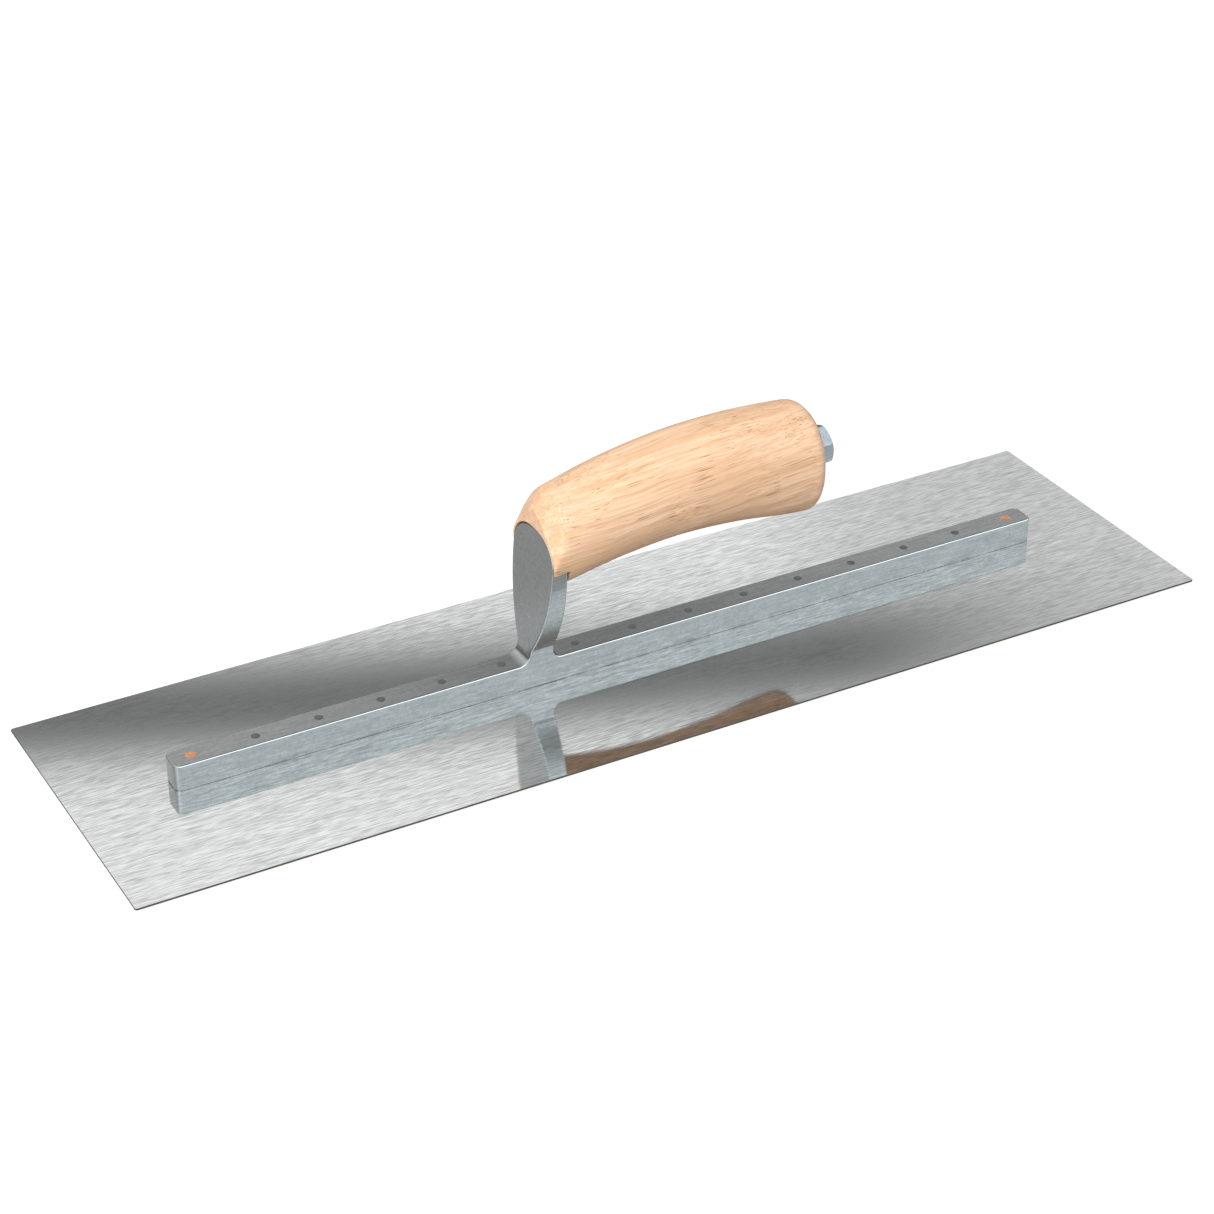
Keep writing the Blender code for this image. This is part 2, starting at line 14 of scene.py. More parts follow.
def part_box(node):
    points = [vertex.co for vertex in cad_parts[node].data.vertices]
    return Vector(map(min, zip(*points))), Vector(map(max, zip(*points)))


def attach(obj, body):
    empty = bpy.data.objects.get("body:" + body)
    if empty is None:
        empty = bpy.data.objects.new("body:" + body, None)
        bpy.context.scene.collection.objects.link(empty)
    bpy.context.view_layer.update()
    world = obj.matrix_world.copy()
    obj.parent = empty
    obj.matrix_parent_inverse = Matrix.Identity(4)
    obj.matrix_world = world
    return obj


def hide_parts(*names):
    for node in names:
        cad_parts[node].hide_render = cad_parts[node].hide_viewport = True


MM = 0.001
SHARP_ANGLE = math.radians(28.0)
WELD = 1e-7

# bar of the mounting
BAR_HALF_LENGTH = 168.7 * MM
BAR_HALF_WIDTH = 5.1 * MM
BAR_TOP = 10.1 * MM
BAR_FOOT = 0.72 * MM
BAR_CORNER = 2.7 * MM
EDGE_ROUND = 0.6 * MM
FOOT_ROUND = 0.25 * MM
BAR_INNER_RING = 2.5 * MM
BAR_SIDE_HEIGHTS = (3.0 * MM, 7.0 * MM, 9.3 * MM)

# shank of the mounting
LEAF_HALF_WIDTH = 14.2 * MM
LEAF_MIDDLE_Z = 47.0 * MM
LEAF_TOP_Z = 59.5 * MM
LEAF_POWER = 2.2
LEAF_FLARE_RADIUS = 60.0 * MM
CREASE_SOFTNESS = 0.25 * MM
SHANK_FRONT_X = (-35.2 * MM, -40.3 * MM)
SHANK_BACK_X = (-29.8 * MM, -30.9 * MM)
SHANK_LEAN_POWER = 1.4
FRONT_FILLET = 4.5 * MM
BACK_FILLET = 3.0 * MM
FILLET_SINK = 0.02 * MM
SHANK_ROOT_Z = 5.0 * MM
SHANK_FOOT_HEIGHT = 8.0 * MM
SLOPE_STEP = 0.01 * MM

# handle
HANDLE_FRONT_X = -35.4 * MM
HANDLE_BUTT_X = 71.4 * MM
STATION_X = np.array((-31.0, -8.0, 15.0, 38.0, 60.0, 80.0)) * MM
STATION_TOP = np.array((71.1, 77.3, 81.0, 82.2, 81.3, 78.9)) * MM
STATION_BOTTOM = np.array((38.0, 42.5, 44.8, 44.0, 41.1, 40.0)) * MM
STATION_HALF_WIDTH = np.array((15.5, 16.0, 16.5, 17.0, 17.2, 17.3)) * MM
SECTION_POWER = 2.15
BUTT_LENGTH = 6.2 * MM
BUTT_DEPTH = 10.4 * MM
BUTT_POWER = 2.8
NOSE_HALF_WIDTH = 17.0 * MM
NOSE_HALF_HEIGHT = 19.5 * MM
NOSE_MIDDLE_Z = 47.0 * MM
NOSE_POWER = 1.34
NOSE_DEPTH = 13.5 * MM
RIDGE_SOFTNESS = 34.0
FRONT_EDGE_ROUND = 0.35 * MM
FINE_RINGS_TO_X = -16.0 * MM
BUTT_RINGS = 28
LARGEST_RADIUS = 40.0 * MM
POCKET_GAP = 0.45 * MM
POCKET_FRONT_X = -50.0 * MM
POCKET_BACK_X = -29.2 * MM
POCKET_FOOT_Z = 20.0 * MM

# rod, washer and nut; distances along the rod are from the nut's outer face
ROD_TILT = math.radians(5.0)
NUT_FACE = (79.0 * MM, 62.4 * MM)
NUT_HALF_FLATS = 6.35 * MM
NUT_HEIGHT = 6.75 * MM
NUT_TURN = math.radians(52.1)
NUT_CHAMFER = math.radians(30.0)
NUT_RIM_INSET = 0.2 * MM
NUT_FLAT_START = 0.35
NUT_EDGE_ROUND = 0.16 * MM
NUT_EDGE_ANGLE = math.radians(20.0)
ROD_RADIUS = 3.97 * MM
ROD_LENGTH = 112.6 * MM
ROD_PROUD = 0.6 * MM
THREAD_PITCH = 1.41 * MM
THREAD_DEPTH = 0.35 * MM
THREADED_LENGTH = 14.0 * MM
THREAD_RINGS = 190
ROD_CHAMFER = 0.8 * MM
WASHER_RADIUS = 8.7 * MM
WASHER_THICKNESS = 1.2 * MM
WASHER_EDGE_ROUND = 0.2 * MM
SEAT_RADIUS = 9.2 * MM
SEAT_GAP = 0.4 * MM
BORE_GAP = 0.2 * MM
BOSS_RADIUS = 6.5 * MM
BOSS_END = 101.2 * MM
BORE_OVERSHOOT = 10.0 * MM
BORE_END = 118.0 * MM

# rivets
RIVET_RADIUS = 1.6 * MM
END_RIVET_RADIUS = 2.0 * MM
END_RIVET_DIMPLE = 0.12 * MM
RIVET_DOME = 0.05 * MM
RIVET_FLARE = 0.8 * MM

# scales of the patterns, in repeats a metre along X, Y and Z
# real scratches are 0.05 mm apart; they are drawn 0.28 mm wide and 4.8 mm long so that they show
SCRATCHES = (210.0, 3600.0, 3600.0)
WIPED_PATCHES = (60.0, 1500.0, 1500.0)  # 0.7 mm wide and 17 mm long
# real belt lines are 0.1 mm apart; they are drawn 0.33 mm wide and 9 mm long so that they show
LINISHING = (110.0, 3000.0, 3000.0)
CAST_GRAIN = 700.0  # 1.4 mm
GROWTH_RINGS = 95.0  # a ring every 3.3 mm
GRAIN_SWAY = 22.0  # 45 mm
FIBRES = (40.0, 1500.0, 1500.0)  # 0.7 mm wide and 25 mm long
TONE_BANDS = (14.0, 260.0, 260.0)  # 4 mm wide and 70 mm long
# real pores are 0.1 mm wide; they are drawn 0.28 mm wide and 12 mm long so that they show
FLECKS = (80.0, 3600.0, 3600.0)
FLECK_CLUSTERS = 90.0  # 11 mm
PAPER_GRAIN = 900.0  # 1.1 mm

# places of the finishes
# middle and reach of the painted shade on the bar's top near the shank
PAINTED_SHADE_MIDDLE_X = -10.0 * MM
PAINTED_SHADE_REACH = 140.0 * MM
RING_AXIS = (0.0, 34.0 * MM, -20.0 * MM)
RING_LEAN = (math.radians(5.0), math.radians(2.0))
SWAY_DEPTH = 5.0 * MM

# stage
CAMERA_PLACE = (-0.42606822, -0.75590816, 0.53782026)
FLOOR_REACH = 6.0
FLOOR_GAP = 0.4 * MM
PAPER_EDGE = (0.4, 0.65)
LAMP_PLACE = (-1.35, -1.0, 1.2)
LAMP_SIZE = (1.4, 1.0)
LAMP_ENERGY = 36.0
BRIGHT_PANEL = (1.40, 1.52, 1.56, 1.0)
PALE_PANEL = (0.93, 0.94, 0.93, 1.0)
DARK_WALL = (0.05, 0.055, 0.055, 1.0)
SOFT_BELOW = (0.28, 0.285, 0.31, 1.0)
SOFT_ABOVE = (0.62, 0.62, 0.63, 1.0)
# each gap's middle as a direction, the cosines where it starts and is full, and its glow
PANEL_GAPS = (
    ((0.38, 0.34, 0.86), 0.91, 0.97, (0.04, 0.045, 0.045, 1.0)),
    ((0.40, 0.10, 0.91), 0.93, 0.98, (0.10, 0.11, 0.11, 1.0)),
    ((0.543, 0.701, 0.464), 0.9945, 0.9998, (0.68, 0.69, 0.68, 1.0)),
)
# where on the bench's plane the dim strip is mirrored, its half width in radians, and how square its edge is
STRIP_PLACES = ((-0.150, 0.043, 0.0), (0.066, -0.036, 0.0), (0.170, -0.066, 0.0))
STRIP_WIDTH = 0.0168
STRIP_EDGE_POWER = 1.6
STRIP_GLOW = (0.058, 0.065, 0.062, 1.0)

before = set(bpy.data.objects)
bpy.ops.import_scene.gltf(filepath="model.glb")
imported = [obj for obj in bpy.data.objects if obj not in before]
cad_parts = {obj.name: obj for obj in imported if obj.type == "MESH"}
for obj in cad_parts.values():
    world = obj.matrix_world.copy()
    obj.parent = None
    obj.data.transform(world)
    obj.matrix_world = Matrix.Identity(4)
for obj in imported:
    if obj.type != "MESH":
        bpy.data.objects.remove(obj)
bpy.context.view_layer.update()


# ---------------------------------------------------------------- meshes

def grid_faces(rows, columns, wrap):
    """Corner numbers of the quads between neighbouring points of a grid, closed round if asked."""
    number = np.arange(rows * columns).reshape(rows, columns)
    if wrap:
        number = np.hstack([number, number[:, :1]])
    corners = [number[:-1, :-1], number[:-1, 1:], number[1:, 1:], number[1:, :-1]]
    return np.stack(corners, -1).reshape(-1, 4)


def surface(name, grid, wrap=True):
    """Piece from a grid of points (rows, columns, 3): quads, welded poles and seams, faces outwards."""
    rows, columns = grid.shape[:2]
    mesh = bpy.data.meshes.new(name)
    mesh.from_pydata(grid.reshape(-1, 3).tolist(), [], grid_faces(rows, columns, wrap).tolist())
    body = bmesh.new()
    body.from_mesh(mesh)
    bmesh.ops.remove_doubles(body, verts=body.verts, dist=WELD)
    bmesh.ops.recalc_face_normals(body, faces=body.faces)
    body.to_mesh(mesh)
    body.free()
    piece = bpy.data.objects.new(name, mesh)
    bpy.context.scene.collection.objects.link(piece)
    smooth(piece)
    return piece


def smooth(piece, angle=SHARP_ANGLE):
    """Shade smooth, with edges over an angle left sharp."""
    piece.data.shade_smooth()
    piece.data.set_sharp_from_angle(angle=angle)


def combine(piece, operation, tool):
    """Cut or join a closed tool into a piece for good, and remove the tool."""
    step = piece.modifiers.new(operation.lower(), "BOOLEAN")
    step.operation = operation
    step.solver = "EXACT"
    step.object = tool
    bpy.context.view_layer.update()
    drawn = piece.evaluated_get(bpy.context.evaluated_depsgraph_get())
    mesh = bpy.data.meshes.new_from_object(drawn)
    piece.modifiers.clear()
    piece.data = mesh
    mesh.name = piece.name
    bpy.data.objects.remove(tool, do_unlink=True)
    smooth(piece)


def along_rod(across, up, distance):
    """Points at a distance in from the nut's face, up and across from the rod's axis."""
    cosine, sine = math.cos(ROD_TILT), math.sin(ROD_TILT)
    x = NUT_FACE[0] - distance * cosine - up * sine
    z = NUT_FACE[1] - distance * sine + up * cosine
    return np.stack(np.broadcast_arrays(x, across, z), -1)


def turned_on_rod(name, radius, distance, columns):
    """Profile of radius and distance turned round the rod's axis."""
    angle = np.linspace(0.0, 2.0 * math.pi, columns, endpoint=False)
    radius, distance = np.asarray(radius)[:, None], np.asarray(distance)[:, None]
    return surface(name, along_rod(radius * np.cos(angle), radius * np.sin(angle), distance))


# ---------------------------------------------------------------- mounting

def make_bar():
    """Bar: its rounded-rectangle outline drawn in by an offset and carried out across the underside, over
    a small chamfer at the foot, up the side, over a quarter-circle edge and across the top."""
    turn = np.linspace(0.0, 0.5 * math.pi, 13)
    offset = [BAR_HALF_WIDTH, BAR_INNER_RING, FOOT_ROUND, 0.4 * FOOT_ROUND, 0.0, 0.0, 0.0, 0.0]
    height = [BAR_FOOT, BAR_FOOT, BAR_FOOT, BAR_FOOT + 0.15 * FOOT_ROUND, BAR_FOOT + FOOT_ROUND]
    height += BAR_SIDE_HEIGHTS
    edge = np.linspace(0.0, 0.5 * math.pi, 9)
    offset += list(EDGE_ROUND * (1.0 - np.cos(edge)))
    height += list(BAR_TOP - EDGE_ROUND * (1.0 - np.sin(edge)))
    offset += [EDGE_ROUND + 0.2 * MM, BAR_INNER_RING, BAR_HALF_WIDTH]
    height += [BAR_TOP] * 3
    offset, height = np.array(offset)[:, None], np.array(height)[:, None]
    radius = np.maximum(BAR_CORNER - offset, 0.0)
    centre_x = BAR_HALF_LENGTH - offset - radius
    centre_y = BAR_HALF_WIDTH - offset - radius
    straight = np.linspace(1.0, -1.0, 84)[1:-1]
    arc_x, arc_y = radius * np.cos(turn), radius * np.sin(turn)
    x = np.hstack([centre_x + arc_x, centre_x * straight, -centre_x - arc_y])
    y = np.hstack([centre_y + arc_y, (centre_y + radius) + 0.0 * straight, centre_y + arc_x])
    x, y = np.hstack([x, x[:, ::-1]]), np.hstack([y, -y[:, ::-1]])
    return surface("mounting_casting", np.stack(np.broadcast_arrays(x, y, height), -1))


def front_x(z):
    """X of the shank's front face at a height."""
    share = np.clip((LEAF_TOP_Z - z) / (LEAF_TOP_Z - BAR_TOP), 0.0, 1.0)
    return SHANK_FRONT_X[0] + (SHANK_FRONT_X[1] - SHANK_FRONT_X[0]) * share ** SHANK_LEAN_POWER


def back_x(z):
    """X of the shank's back face at a height."""
    share = (LEAF_TOP_Z - z) / (LEAF_TOP_Z - BAR_TOP)
    return SHANK_BACK_X[0] + (SHANK_BACK_X[1] - SHANK_BACK_X[0]) * share


def filleted(face, z, radius, side):
    """X and outward tilt of a face that ends in a circular fillet on the bar's top: above the fillet
    the face itself, below it the arc that starts along the face's slope."""
    step, height = SLOPE_STEP, BAR_TOP + radius
    slope = math.atan(side * (face(height + step) - face(height - step)) / (2.0 * step))
    top = BAR_TOP - FILLET_SINK + radius * (1.0 + math.sin(slope))
    centre_z = BAR_TOP - FILLET_SINK + radius
    centre_x = face(top) + side * radius * math.cos(slope)
    inside = np.clip((centre_z - z) / radius, -1.0, 1.0)
    arc = centre_x - side * radius * np.sqrt(1.0 - inside ** 2)
    tilt = np.arcsin(inside)
    lean = np.arctan(-side * (face(z + step) - face(z - step)) / (2.0 * step))
    return np.where(z > top, face(z), arc), np.where(z > top, lean, tilt)


def leaf_width(z):
    """Half width of the shank seen from the front, and the slope of its outline: the bar's width, then
    an arc that flares to the leaf, joined by a soft crease, then a superellipse over the top."""
    def width(z):
        arc = LEAF_HALF_WIDTH - LEAF_FLARE_RADIUS
        arc = arc + np.sqrt(LEAF_FLARE_RADIUS ** 2 - (LEAF_MIDDLE_Z - z) ** 2)
        return 0.5 * (BAR_HALF_WIDTH + arc + np.sqrt((arc - BAR_HALF_WIDTH) ** 2 + CREASE_SOFTNESS ** 2))

    return width(z), (width(z + SLOPE_STEP) - width(z - SLOPE_STEP)) / (2.0 * SLOPE_STEP)


def make_shank():
    """Shank: at each height a slab between its front and back faces and as wide as the leaf's outline,
    its edges rounded by a quarter circle set square to both faces."""
    rise = LEAF_TOP_Z - LEAF_MIDDLE_Z
    foot = BAR_TOP - FILLET_SINK + SHANK_FOOT_HEIGHT * np.linspace(0.0, 1.0, 44) ** 2
    middle = np.linspace(BAR_TOP + SHANK_FOOT_HEIGHT, LEAF_MIDDLE_Z, 66)[1:]
    z = np.hstack([foot, middle])
    half, slope = leaf_width(z)
    out = np.arctan(slope)
    normal_y, normal_z = np.cos(out), -np.sin(out)
    angle = np.linspace(0.0, 0.5 * math.pi, 41)[1:]
    across = np.cos(angle) ** (2.0 / LEAF_POWER)
    up = np.sin(angle) ** (2.0 / LEAF_POWER)
    slant_y = (across ** (LEAF_POWER - 1.0)) / LEAF_HALF_WIDTH
    slant_z = (up ** (LEAF_POWER - 1.0)) / rise
    length = np.hypot(slant_y, slant_z)
    z = np.hstack([z, LEAF_MIDDLE_Z + rise * up])
    half = np.hstack([half, LEAF_HALF_WIDTH * across])
    half[-1] = 0.0
    normal_y = np.hstack([normal_y, slant_y / length])
    normal_z = np.hstack([normal_z, slant_z / length])
    normal_y[-1], normal_z[-1] = 0.0, 1.0
    front, front_tilt = filleted(front_x, z, FRONT_FILLET, -1)
    back, back_tilt = filleted(back_x, z, BACK_FILLET, 1)
    inset = np.minimum(EDGE_ROUND, np.maximum(half, 0.0) / np.maximum(normal_y, 1e-6))
    inset[-1] = EDGE_ROUND
    phi = np.linspace(0.0, 0.5 * math.pi, 9)

    def edge(x, tilt, side, sign):
        """Quarter circle from the face to the side, as columns."""
        depth = EDGE_ROUND * (1.0 - np.cos(phi))[None, :]
        draw = EDGE_ROUND * (1.0 - np.sin(phi))[None, :]
        face_x, face_z = side * np.cos(tilt), np.sin(tilt)
        px = x[:, None] - depth * face_x[:, None]
        py = half[:, None] - draw * normal_y[:, None]
        pz = z[:, None] - depth * face_z[:, None] - draw * normal_z[:, None]
        return np.stack([px, sign * np.maximum(py, 0.0), pz], -1)

    right_front, left_front = edge(front, front_tilt, -1, 1), edge(front, front_tilt, -1, -1)
    right_back, left_back = edge(back, back_tilt, 1, 1), edge(back, back_tilt, 1, -1)
    share = np.linspace(0.0, 1.0, 25)[None, 1:-1, None]

    def between(first, last):
        """Straight columns between two edges."""
        return first[:, None, :] * (1.0 - share) + last[:, None, :] * share

    parts = [
        between(left_front[:, 0], right_front[:, 0]), right_front,
        between(right_front[:, -1], right_back[:, -1]), right_back[:, ::-1],
        between(right_back[:, 0], left_back[:, 0]), left_back,
        between(left_back[:, -1], left_front[:, -1]), left_front[:, ::-1],
    ]
    grid = np.concatenate(parts, 1)
    # the sides lie on the outline's own width wherever the straight columns leave it
    low = grid[:, :, 2] < LEAF_MIDDLE_Z
    side_columns = np.zeros(grid.shape[1], bool)
    start = parts[0].shape[1] + parts[1].shape[1]
    side_columns[start:start + parts[2].shape[1]] = True
    start += sum(p.shape[1] for p in parts[2:6])
    side_columns[start:start + parts[6].shape[1]] = True
    exact = np.sign(grid[:, :, 1]) * leaf_width(grid[:, :, 2])[0]
    grid[:, :, 1] = np.where(low & side_columns[None, :], exact, grid[:, :, 1])
    root = grid[:1].copy()
    root[:, :, 2] = SHANK_ROOT_Z
    centre = root.copy()
    centre[:, :, 0] = root[:, :, 0].mean()
    centre[:, :, 1] = 0.0
    grid = np.concatenate([centre, root, grid], 0)
    return surface("shank", grid)


def make_mounting():
    """Bar and shank joined into one casting."""
    bar = make_bar()
    combine(bar, "UNION", make_shank())
    return bar


# ---------------------------------------------------------------- handle

def station(values, x):
    """Smooth curve through the stations: cubic between two, its slopes taken from their neighbours."""
    last = len(STATION_X) - 1
    low = np.clip(np.arange(last + 1) - 1, 0, last)
    high = np.clip(np.arange(last + 1) + 1, 0, last)
    slopes = (values[high] - values[low]) / (STATION_X[high] - STATION_X[low])
    k = np.clip(np.searchsorted(STATION_X, x, side="left") - 1, 0, last - 1)
    width = STATION_X[k + 1] - STATION_X[k]
    t = (x - STATION_X[k]) / width
    a = (2 * t**3 - 3 * t**2 + 1) * values[k] + (t**3 - 2 * t**2 + t) * width * slopes[k]
    b = (3 * t**2 - 2 * t**3) * values[k + 1] + (t**3 - t**2) * width * slopes[k + 1]
    return np.where(t < 0.0, values[k] + slopes[k] * t * width, a + b)


def handle_radius(x, inset, angle):
    """Distance from the section's middle to the skin in a direction, and the middle's height: where the
    soft maximum of two gauges is one, of the turned section and of the arch that cuts the front back."""
    top = station(STATION_TOP, x) - inset
    bottom = station(STATION_BOTTOM, x) + inset
    half = station(STATION_HALF_WIDTH, x) - inset
    middle, rise = (top + bottom) / 2, (top - bottom) / 2
    cosine, sine = np.abs(np.cos(angle)), np.sin(angle)
    spread = 1.0 + (x - HANDLE_FRONT_X) / NOSE_DEPTH
    shape = np.broadcast(x, angle).shape
    low, high = np.zeros(shape), np.full(shape, LARGEST_RADIUS)
    for _ in range(40):  # halve the interval until the gauge is one
        radius = (low + high) / 2
        y, z = radius * cosine, radius * sine
        body = ((y / half) ** SECTION_POWER + (np.abs(z) / rise) ** SECTION_POWER) ** (1.0 / SECTION_POWER)
        above = np.maximum(z + middle - NOSE_MIDDLE_Z, 0.0) / (NOSE_HALF_HEIGHT * spread)
        side = y / (NOSE_HALF_WIDTH * spread)
        nose = (side ** NOSE_POWER + above ** NOSE_POWER) ** (1.0 / NOSE_POWER)
        gauge = (body ** RIDGE_SOFTNESS + nose ** RIDGE_SOFTNESS) ** (1.0 / RIDGE_SOFTNESS)
        low, high = np.where(gauge < 1.0, radius, low), np.where(gauge < 1.0, high, radius)
    return radius, middle


def make_handle_body():
    """Handle before its cuts: rings round its middle line, a flat front end with a rounded rim, and a
    butt whose rings draw in along a superellipse."""
    angle = np.linspace(0.0, 2.0 * math.pi, 288, endpoint=False)[None, :]
    turn = np.linspace(0.0, 0.5 * math.pi, 7)
    body_start = HANDLE_FRONT_X + FRONT_EDGE_ROUND
    round_start = HANDLE_BUTT_X - BUTT_LENGTH
    x = [np.full(4, HANDLE_FRONT_X), HANDLE_FRONT_X + FRONT_EDGE_ROUND * (1.0 - np.cos(turn))]
    draw = [np.zeros(4), FRONT_EDGE_ROUND * (1.0 - np.sin(turn))]
    scale = [np.array((0.0, 0.35, 0.7, 0.97)), np.ones(7)]
    body_x = np.hstack([
        np.linspace(body_start, FINE_RINGS_TO_X, 64)[1:],
        np.linspace(FINE_RINGS_TO_X, round_start, 90)[1:],
    ])
    x.append(body_x)
    draw.append(np.zeros(len(body_x)))
    scale.append(np.ones(len(body_x)))
    share = np.sin(0.5 * math.pi * np.arange(1, BUTT_RINGS + 1) / BUTT_RINGS)
    drop = 1.0 - (1.0 - share ** BUTT_POWER) ** (1.0 / BUTT_POWER)
    x.append(round_start + BUTT_LENGTH * share)
    x.append(np.full(3, HANDLE_BUTT_X))
    x = np.hstack(x)[:, None]
    inset = np.zeros(len(x))
    inset[-BUTT_RINGS - 3:-3] = BUTT_DEPTH * drop
    inset[-3:] = BUTT_DEPTH
    draw = np.hstack(draw + [np.zeros(BUTT_RINGS + 3)])[:, None]
    scale = np.hstack(scale + [np.ones(BUTT_RINGS), (0.9, 0.5, 0.0)])[:, None]
    radius, middle = handle_radius(x, inset[:, None], angle)
    radius = (radius - draw) * scale
    grid = np.stack(np.broadcast_arrays(x, radius * np.cos(angle), middle + radius * np.sin(angle)), -1)
    return surface("handle_wood", grid)


def prism(name, outline, low_x, high_x):
    """Closed prism along X with a flat outline of Y and Z."""
    middle = outline.mean(0)
    rows = []
    for x, size in ((low_x, 0.0), (low_x, 1.0), (high_x, 1.0), (high_x, 0.0)):
        flat = middle + (outline - middle) * size
        rows.append(np.column_stack([np.full(len(flat), x), flat]))
    return surface(name, np.stack(rows))


def make_handle():
    """Wood handle with the leaf's pocket, the rod's bore and the washer's seat cut into it."""
    handle = make_handle_body()
    angle = np.linspace(0.0, math.pi, 97)
    across = np.sign(np.cos(angle)) * np.abs(np.cos(angle)) ** (2.0 / LEAF_POWER)
    up = np.sin(angle) ** (2.0 / LEAF_POWER)
    top = np.column_stack([
        (LEAF_HALF_WIDTH + POCKET_GAP) * across,
        LEAF_MIDDLE_Z + (LEAF_TOP_Z - LEAF_MIDDLE_Z + POCKET_GAP) * up,
    ])
    side = LEAF_HALF_WIDTH + POCKET_GAP
    outline = np.vstack([[(-side, POCKET_FOOT_Z), (side, POCKET_FOOT_Z)], top])
    combine(handle, "DIFFERENCE", prism("pocket", outline, POCKET_FRONT_X, POCKET_BACK_X))
    seat = NUT_HEIGHT + WASHER_THICKNESS + SEAT_GAP
    bore = ROD_RADIUS + BORE_GAP
    radius = np.array((0.0, SEAT_RADIUS, SEAT_RADIUS, bore, bore, BOSS_RADIUS, BOSS_RADIUS, 0.0))
    distance = np.array((-BORE_OVERSHOOT, -BORE_OVERSHOOT, seat, seat, BOSS_END, BOSS_END, BORE_END, BORE_END))
    combine(handle, "DIFFERENCE", turned_on_rod("bore", radius, distance, 96))
    return handle


# ---------------------------------------------------------------- fastenings

def make_nut():
    """Hexagon nut: rings whose radius is the hexagon's, held under a 30 degree cone at both ends."""
    steps = 14
    angle = np.arange(6 * steps) * (math.pi / (3 * steps))
    hexagon = NUT_HALF_FLATS / np.cos(angle % (math.pi / 3) - math.pi / 6)
    corner = NUT_HALF_FLATS / math.cos(math.pi / 6)
    rim = NUT_HALF_FLATS - NUT_RIM_INSET
    bore = ROD_RADIUS + 0.05 * MM
    tangent = math.tan(NUT_CHAMFER)
    rows = []
    flat = [(bore, 0.6 * MM), (bore + 0.5 * MM, 0.0), (rim - 0.1 * MM, 0.0), (rim, 0.0)]
    for radius, depth in flat:
        rows.append((np.full_like(angle, radius), np.full_like(angle, depth)))
    for share in np.linspace(0.0, 1.0, 9)[1:]:
        radius = np.minimum(hexagon, rim + (corner - rim) * share)
        rows.append((radius, (radius - rim) * tangent))
    rows.append((hexagon, np.full_like(angle, NUT_HEIGHT * NUT_FLAT_START)))
    rows += [(radius, NUT_HEIGHT - depth) for radius, depth in reversed(rows)]
    radius, depth = np.array([r for r, _ in rows]), np.array([d for _, d in rows])
    radius, depth = np.vstack([radius, radius[:1]]), np.vstack([depth, depth[:1]])
    turn = angle + NUT_TURN
    piece = surface("hex_nut", along_rod(radius * np.sin(turn), radius * np.cos(turn), depth))
    step = piece.modifiers.new("edges", "BEVEL")
    step.width = NUT_EDGE_ROUND
    step.segments = 3
    step.limit_method = "ANGLE"
    step.angle_limit = NUT_EDGE_ANGLE
    return piece


def make_rod():
    """Threaded rod: radius drops by a sine ridge that winds once a pitch, fading into the plain rod."""
    angle = np.linspace(0.0, 2.0 * math.pi, 64, endpoint=False)[None, :]
    tip = np.array([0.0, 0.0, 0.02, 0.25, 0.6]) * MM
    tip_radius = np.array([0.0, *(ROD_RADIUS / MM - np.array([0.8, 0.7, 0.4, 0.1]))]) * MM
    thread = np.linspace(ROD_CHAMFER, THREADED_LENGTH, THREAD_RINGS)
    plain = np.array([THREADED_LENGTH + 2.0 * MM, ROD_LENGTH - ROD_CHAMFER, ROD_LENGTH, ROD_LENGTH])
    plain_radius = [ROD_RADIUS, ROD_RADIUS, ROD_RADIUS - ROD_CHAMFER, 0.0]
    distance = np.hstack([tip, thread, plain])[:, None]
    radius = np.hstack([tip_radius, np.full(THREAD_RINGS, ROD_RADIUS), plain_radius])[:, None]
    fade = np.clip(distance / MM, 0.0, 1.0) * np.clip((THREADED_LENGTH - distance) / (2.0 * MM), 0.0, 1.0)
    wave = 0.5 - 0.5 * np.cos(2.0 * math.pi * distance / THREAD_PITCH - angle)
    radius = radius - THREAD_DEPTH * fade * wave
    grid = along_rod(radius * np.cos(angle), radius * np.sin(angle), distance - ROD_PROUD)
    return surface("threaded_rod", grid)


def make_washer():
    """Flat washer with rounded rims."""
    bore, rim, face = ROD_RADIUS + 0.15 * MM, WASHER_RADIUS, NUT_HEIGHT + 0.05 * MM
    back, soft = face + WASHER_THICKNESS, WASHER_EDGE_ROUND
    radius, distance = [], []
    corners = (
        ((bore, face), (-1.0, 0.0), (0.0, -1.0)), ((rim, face), (0.0, -1.0), (1.0, 0.0)),
        ((rim, back), (1.0, 0.0), (0.0, 1.0)), ((bore, back), (0.0, 1.0), (-1.0, 0.0)),
    )
    angle = np.linspace(0.0, 0.5 * math.pi, 5)
    for (r, d), first, second in corners:
        first, second = np.array(first), np.array(second)
        centre = np.array((r, d)) - soft * (first + second)
        for a in angle:
            point = centre + soft * (first * math.cos(a) + second * math.sin(a))
            radius.append(point[0])
            distance.append(point[1])
    radius.append(radius[0])
    distance.append(distance[0])
    return turned_on_rod("washer", radius, distance, 96)


